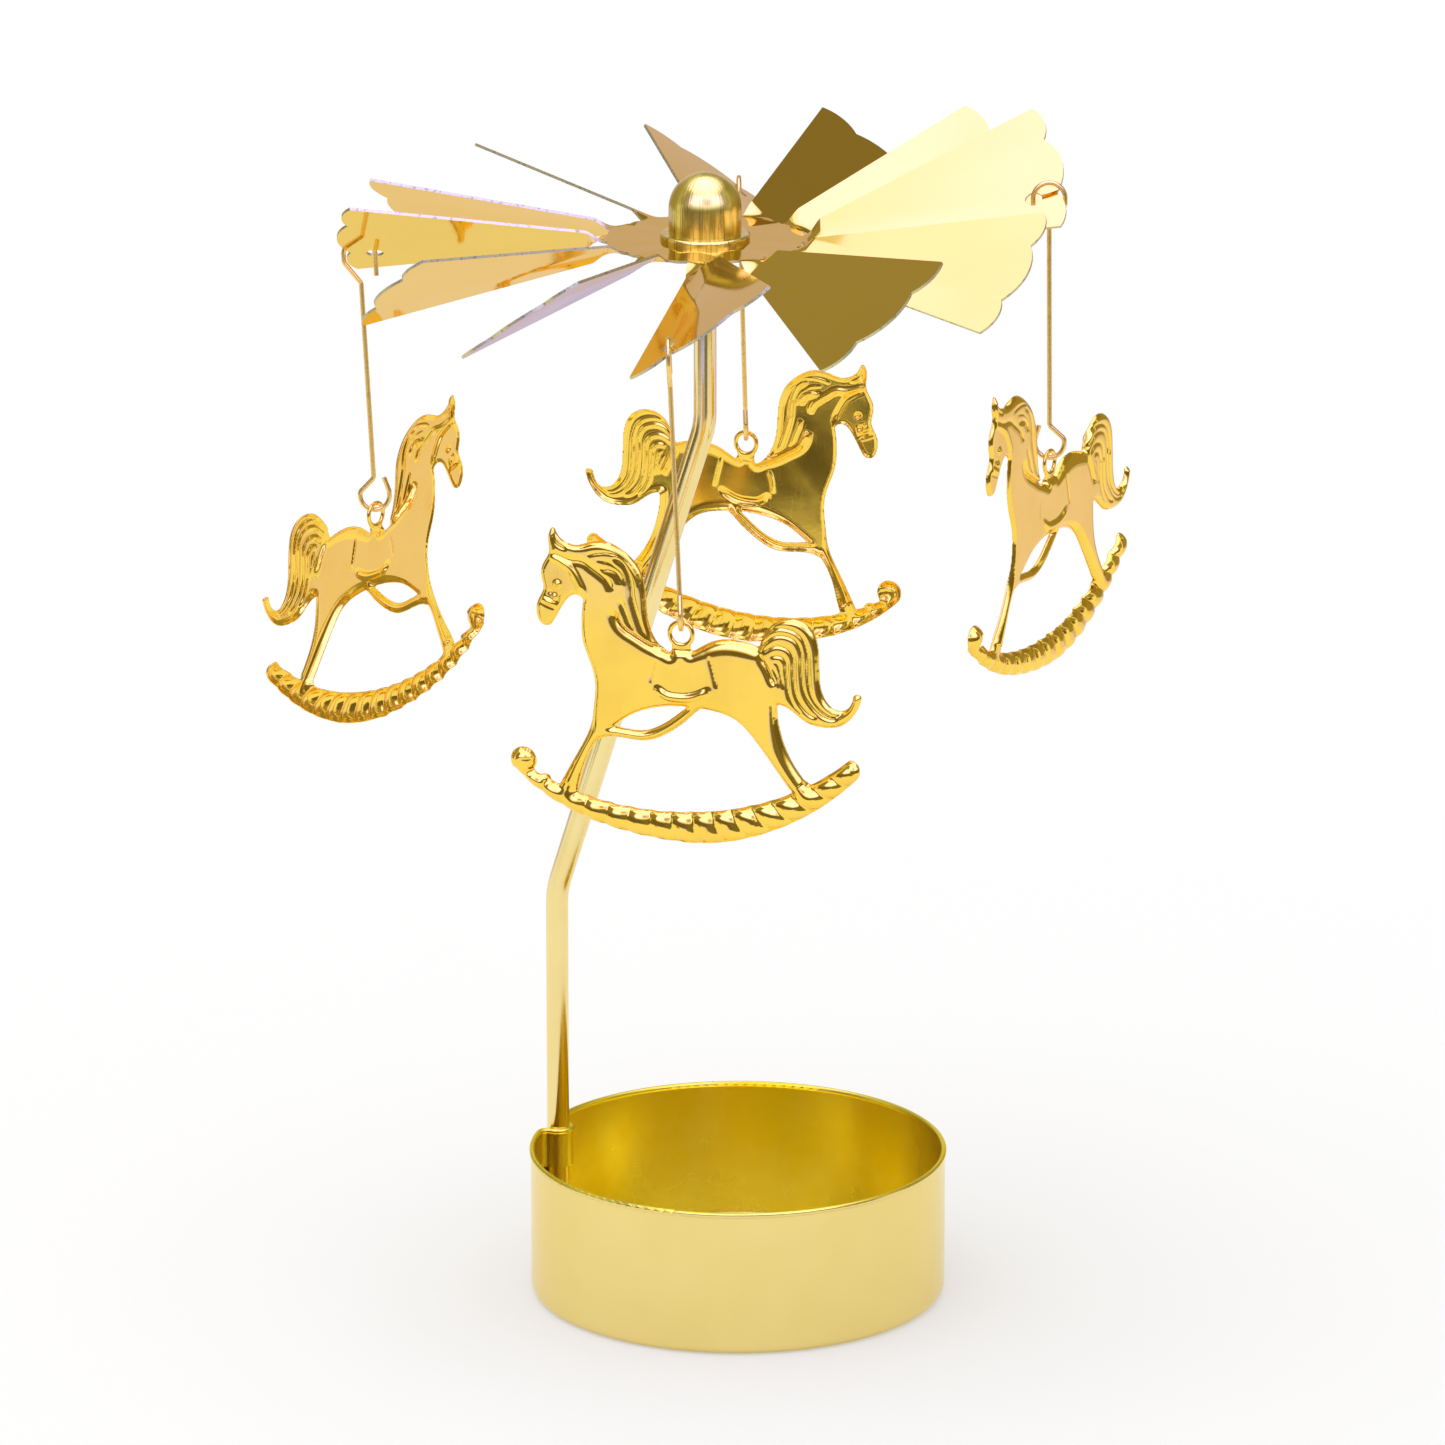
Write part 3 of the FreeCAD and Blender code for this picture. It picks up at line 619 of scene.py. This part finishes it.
def hangHorses(look, metal):
    pressing = pressHorse(look)
    finish = lacquerGold("horseGold", metal)
    for side in sides:
        mesh = pressing.copy()
        mesh.name = "horsePressing_" + side
        mesh.transform(horsePlace(side, look))
        mesh.shade_smooth()
        newPiece("horsePressing_" + side, mesh, "horse_" + side, ["horse_" + side], [finish])
    bpy.data.meshes.remove(pressing)


hangHorses(horseLook, horseMetal)
print("horses finished")

# studio: white floor, soft light from above, and cards that only the metal sees
studio = {"floor": 0.92, "floorRadius": 6.0, "floorSides": 96, "lift": 0.35, "fade": (0.05, 0.32), "ambient": 0.82,
          "lamp": 5.2, "lampSize": 1.1, "lampPlace": (-0.15, -0.1, 1.25), "cardSteps": 48, "leastFade": 0.001}
topCard = {"level": 1.0, "radius": 0.66, "sides": 64, "glow": (1.8, 1.75, 4.9), "rim": (1.8, 1.6, 3.3),
           "span": (0.2, 0.58)}
# upright cards, by bearings from the camera: 0 is right, 90 is behind the object and -90 is towards the camera
# soft is the share of its width or height over which a card fades: at its start, its end, its foot and its head
bandCards = (
    {"name": "lowBack", "reach": 0.9, "from": 62, "to": 122, "foot": 0.0, "head": 0.6,
     "glow": (0.67, 0.58, 0.67), "soft": (0.15, 0.15, 0, 0.15)},
    {"name": "lowRight", "reach": 0.92, "from": 5, "to": 80, "foot": 0.0, "head": 0.62,
     "glow": (0.34, 0.29, 0.14), "soft": (0.1, 0, 0, 0.15)},
    {"name": "lowLeft", "reach": 0.92, "from": 104, "to": 175, "foot": 0.0, "head": 0.62,
     "glow": (0.34, 0.29, 0.14), "soft": (0, 0.1, 0, 0.15)},
    {"name": "highBackRight", "reach": 0.94, "from": 5, "to": 95, "foot": 0.45, "head": 1.2,
     "glow": (0.275, 0.234, 0.12), "soft": (0.1, 0.1, 0, 0.05)},
    {"name": "highBackLeft", "reach": 0.96, "from": 84, "to": 175, "foot": 0.45, "head": 1.2,
     "glow": (0.388, 0.354, 0.218), "soft": (0, 0.1, 0, 0.05)},
    {"name": "frontDark", "reach": 0.53, "from": -175, "to": -5, "foot": 0.0, "head": 0.29,
     "glow": (0.16, 0.13, 0.09), "soft": (0.05, 0.05, 0, 0.35)},
    {"name": "frontBox", "reach": 0.7, "from": -150, "to": -23, "foot": 0.3, "head": 1.0,
     "glow": (1.8, 1.65, 5.5), "soft": (0.08, 0.08, 0.2, 0)},
    {"name": "cameraGap", "reach": 0.69, "from": -103, "to": -63, "foot": 0.34, "head": 0.84,
     "glow": (0.6, 0.55, 1.0), "soft": (0.35, 0.35, 0.25, 0.35)},
    {"name": "cameraFoot", "reach": 0.38, "from": -103, "to": -63, "foot": 0.0, "head": 0.21,
     "glow": (0.2, 0.18, 0.11), "soft": (0.25, 0.25, 0, 0.3)},
    {"name": "leftWall", "reach": 0.71, "from": -185, "to": -138, "foot": 0.22, "head": 1.0,
     "glow": (0.28, 0.25, 0.15), "soft": (0.1, 0, 0.1, 0)},
    {"name": "rightWall", "reach": 0.71, "from": -34, "to": 5, "foot": 0.22, "head": 1.0,
     "glow": (0.34, 0.30, 0.19), "soft": (0, 0.1, 0.1, 0)},
)
# flat cards: two corners on the camera's right and away axes
flatCards = (
    {"name": "leftDark", "first": (-0.4, -0.3), "last": (-0.21, -0.17), "level": 0.002,
     "glow": (0.05, 0.04, 0.02), "soft": (0.3, 0.3, 0.3, 0.3)},
    {"name": "backNear", "first": (-0.5, 0.105), "last": (0.6, 0.4), "level": 0.002,
     "glow": (0.96, 0.92, 1.2), "soft": (0.1, 0, 0.1, 0)},
    {"name": "rightFloor", "first": (0.2, 0.0), "last": (0.65, 0.33), "level": 0.003,
     "glow": (0.87, 0.81, 1.45), "soft": (0.2, 0.1, 0.25, 0.1)},
    {"name": "backFloor", "first": (-0.9, 0.25), "last": (0.9, 0.88), "level": 0.004,
     "glow": (0.62, 0.565, 0.82), "soft": (0.05, 0.05, 0.12, 0)},
    {"name": "frontNear", "first": (-0.5, -0.5), "last": (0.05, -0.345), "level": 0.002,
     "glow": (1.0, 0.99, 1.9), "soft": (0.1, 0.2, 0, 0.2)},
    {"name": "frontFar", "first": (-0.5, -0.54), "last": (0.05, -0.37), "level": 0.003,
     "glow": (0.76, 0.80, 2.3), "soft": (0.1, 0.2, 0, 0.2)},
)


def topGlow(card):
    # dimmer towards its rim
    material, start, place = newMaterial("topGlow")
    flat = place.add("VectorMath", {"operation": "MULTIPLY"}, {0: place, 1: (1, 1, 0)})
    out = place.add("VectorMath", {"operation": "LENGTH"}, {0: flat}, out="Value")
    colour = out.ramp(*card["span"]).tint(card["glow"], card["rim"])
    closeShader(start, start.add("Emission", None, {"Color": colour, "Strength": 1.0}))
    return material


def softGlow(card, least):
    material, start, place = newMaterial(card["name"] + "Glow", "UV")
    along, up = [start.add("SeparateXYZ", None, {0: place}, out=axis) for axis in range(2)]
    begin, end, foot, head = [max(width, least) for width in card["soft"]]
    seen = along.ramp(0, begin) * (1 - along).ramp(0, end) * up.ramp(0, foot) * (1 - up).ramp(0, head)
    clear = start.add("BsdfTransparent")
    glow = start.add("Emission", None, {"Color": rgb(card["glow"]), "Strength": 1.0})
    closeShader(start, start.add("MixShader", None, {0: seen, 1: clear, 2: glow}))
    return material


def stagePiece(name, bm, material):
    mesh = bpy.data.meshes.new(name)
    bm.to_mesh(mesh)
    bm.free()
    mesh.materials.append(material)
    piece = bpy.data.objects.new(name, mesh)
    scene.collection.objects.link(piece)
    return piece


def onlyInMetal(piece):
    piece.visible_camera = False
    piece.visible_diffuse = False
    piece.visible_shadow = False
    piece.visible_transmission = False


def seenOrMirrored(start):
    # 1 for what the camera, metal or glass sees, 0 for light on the object
    rays = ("Is Camera Ray", "Is Glossy Ray", "Is Transmission Ray")
    camera, glossy, through = [start.add("LightPath", out=ray) for ray in rays]
    return through.maths("MAXIMUM", camera.maths("MAXIMUM", camera, glossy), through)


def makeFloor(look):
    bm = bmesh.new()
    bmesh.ops.create_circle(bm, cap_ends=True, segments=look["floorSides"], radius=look["floorRadius"])
    material, start, place = newMaterial("floorWhite")
    away = place.add("VectorMath", {"operation": "LENGTH"}, {0: place}, out="Value")
    share = look["lift"] + away.ramp(*look["fade"]) * (1.0 - look["lift"])  # pure white away from the shadow
    paint = start.add("BsdfDiffuse", None, {"Color": rgb((look["floor"],) * 3)})
    glow = start.add("Emission", None, {"Color": rgb(white), "Strength": 1.0})
    closeShader(start, start.add("MixShader", None, {0: share * seenOrMirrored(start), 1: paint, 2: glow}))
    stagePiece("floor", bm, material)


def makeWorld(look):
    world = bpy.data.worlds.new("studio")
    scene.world = world
    world.use_nodes = True
    world.node_tree.nodes.clear()
    start = Socket(world.node_tree)
    strength = look["ambient"] + seenOrMirrored(start) * (1.0 - look["ambient"])
    glow = start.add("Background", None, {"Color": rgb(white), "Strength": strength})
    start.add("OutputWorld", None, {"Surface": glow})


def makeLamp(look):
    data = bpy.data.lights.new("softLamp", "AREA")
    data.shape = "DISK"
    data.size = look["lampSize"]
    data.energy = look["lamp"]
    lamp = bpy.data.objects.new("softLamp", data)
    lamp.location = look["lampPlace"]
    lamp.rotation_euler = (-Vector(look["lampPlace"])).to_track_quat("-Z", "Y").to_euler()
    lamp.visible_glossy = False
    scene.collection.objects.link(lamp)


def bandSpot(card, along, up):
    angle = math.radians(card["from"] + along * (card["to"] - card["from"]))
    level = card["foot"] + up * (card["head"] - card["foot"])
    return card["reach"] * math.cos(angle), card["reach"] * math.sin(angle), level


def flatSpot(card, along, up):
    first, last = Vector(card["first"]), Vector(card["last"])
    return first.x + along * (last.x - first.x), first.y + up * (last.y - first.y), card["level"]


def makeCard(look, card, spot, turn, half=0.5):
    bm = bmesh.new()
    bm.loops.layers.uv.new("card")
    bmesh.ops.create_grid(bm, x_segments=look["cardSteps"], y_segments=1, size=half, calc_uvs=True)
    for vert in bm.verts:
        vert.co = spot(card, vert.co.x + half, vert.co.y + half)
    bmesh.ops.transform(bm, matrix=turn, verts=bm.verts)
    onlyInMetal(stagePiece(card["name"], bm, softGlow(card, look["leastFade"])))


def makeCards(look):
    bm = bmesh.new()
    bmesh.ops.create_circle(bm, cap_ends=True, segments=topCard["sides"], radius=topCard["radius"])
    bmesh.ops.translate(bm, vec=(0, 0, topCard["level"]), verts=bm.verts)
    onlyInMetal(stagePiece("topCard", bm, topGlow(topCard)))
    turn = Matrix.Rotation(math.radians(cameraLook["turn"][2]), 4, "Z")
    for card in bandCards:
        makeCard(look, card, bandSpot, turn)
    for card in flatCards:
        makeCard(look, card, flatSpot, turn)


makeFloor(studio)
makeWorld(studio)
makeLamp(studio)
makeCards(studio)
print("studio set")
